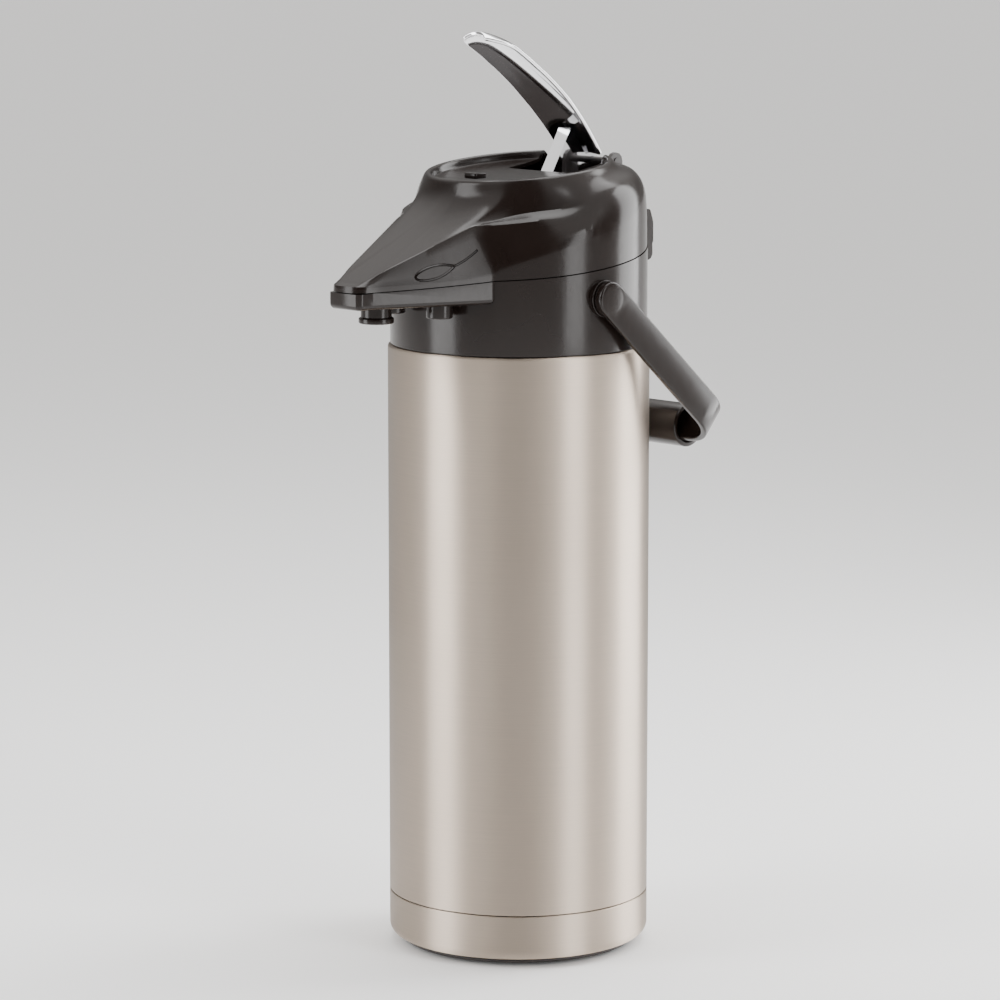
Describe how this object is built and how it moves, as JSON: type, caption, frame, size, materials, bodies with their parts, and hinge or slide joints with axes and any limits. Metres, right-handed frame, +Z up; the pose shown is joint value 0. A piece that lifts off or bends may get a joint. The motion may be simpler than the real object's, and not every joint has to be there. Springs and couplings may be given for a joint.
{
  "type": "thermal coffee airpot",
  "caption": "Tall steel vacuum airpot with a black pump head, beak spout, raised chrome lever, swinging carry handle and swivel base.",
  "frame": {"origin": "middle of the underside of the foot pad, on the axis of the round body", "axes": "+Z up, the spout points along -Y, the lid hinge is at +Y, +X is to the side of one handle boss"},
  "size_m": [0.173, 0.2564, 0.5638],
  "materials": {
    "brushed_steel": "brushed round the body",
    "plain_steel": "plain sheet steel",
    "chrome": "mirror chrome plating",
    "gloss_black": "moulded glossy brown-black plastic",
    "satin_black": "moulded satin black plastic",
    "grey_plastic": "moulded grey plastic",
    "rubber": "black rubber",
    "silicone": "translucent white silicone"
  },
  "bodies": {
    "body": {"outer_shell": "brushed_steel", "base_ring": "brushed_steel", "base_plate": "satin_black", "base_screw_1": "plain_steel", "base_screw_2": "plain_steel", "base_screw_3": "plain_steel", "swivel_pin": "plain_steel", "swivel_nut": "plain_steel", "vessel_cushion": "rubber", "vacuum_vessel": "plain_steel", "vessel_liner": "plain_steel", "neck_gasket": "silicone", "neck_nut": "satin_black", "collar": "gloss_black", "beak_screw_left": "plain_steel", "beak_screw_right": "plain_steel", "spout_nozzle": "gloss_black", "dip_tube": "plain_steel", "stem_flange": "grey_plastic", "stem_seal": "silicone", "handle_boss_left": "gloss_black", "handle_boss_right": "gloss_black", "handle_pin_left": "plain_steel", "handle_pin_right": "plain_steel", "hinge_pin": "plain_steel"},
    "turntable": {"swivel_base": "satin_black", "foot_pad": "rubber"},
    "handle": {"handle_bail": "gloss_black", "handle_grip": "gloss_black"},
    "lid": {"head_shell": "gloss_black", "head_base": "satin_black", "lid_gasket": "silicone", "bellows": "rubber", "return_spring": "plain_steel", "air_valve": "silicone", "spout_tube": "plain_steel", "hinge_cover": "gloss_black", "lever_bracket": "satin_black", "lever_pin": "satin_black"},
    "plunger": {"push_plate": "grey_plastic"},
    "lock": {"lock_slider": "gloss_black"},
    "lever": {"lever": "chrome", "lever_cam": "chrome"}
  },
  "joints": [
    {"name": "lid_hinge", "type": "hinge", "parent": "body", "child": "lid", "pos_m": [0, 0.087, 0.4235], "axis": [-1, 0, 0], "range_deg": [0, 90]},
    {"name": "lever_hinge", "type": "hinge", "parent": "lid", "child": "lever", "pos_m": [0, 0.06, 0.4815], "axis": [1, 0, 0], "range_deg": [0, 38], "stiffness_Nm_per_rad": 1.5, "springref_deg": -11.46},
    {"name": "plunger_slide", "type": "slide", "parent": "lid", "child": "plunger", "axis": [0, 0, -1], "range_m": [0, 0.0197], "deforming": ["bellows", "return_spring"]},
    {"name": "lock_slide", "type": "slide", "parent": "lid", "child": "lock", "axis": [1, 0, 0], "range_m": [0, 0.007]},
    {"name": "handle_swing", "type": "hinge", "parent": "body", "child": "handle", "pos_m": [0, -0.008, 0.4068], "axis": [-1, 0, 0], "range_deg": [-102, 0]},
    {"name": "base_swivel", "type": "hinge", "parent": "body", "child": "turntable", "pos_m": [0, 0, 0], "axis": [0, 0, 1], "continuous": true}
  ],
  "couplings": [
    {"joint": "plunger_slide", "follows": "lever_hinge", "m_per_rad": 0.0295}
  ]
}
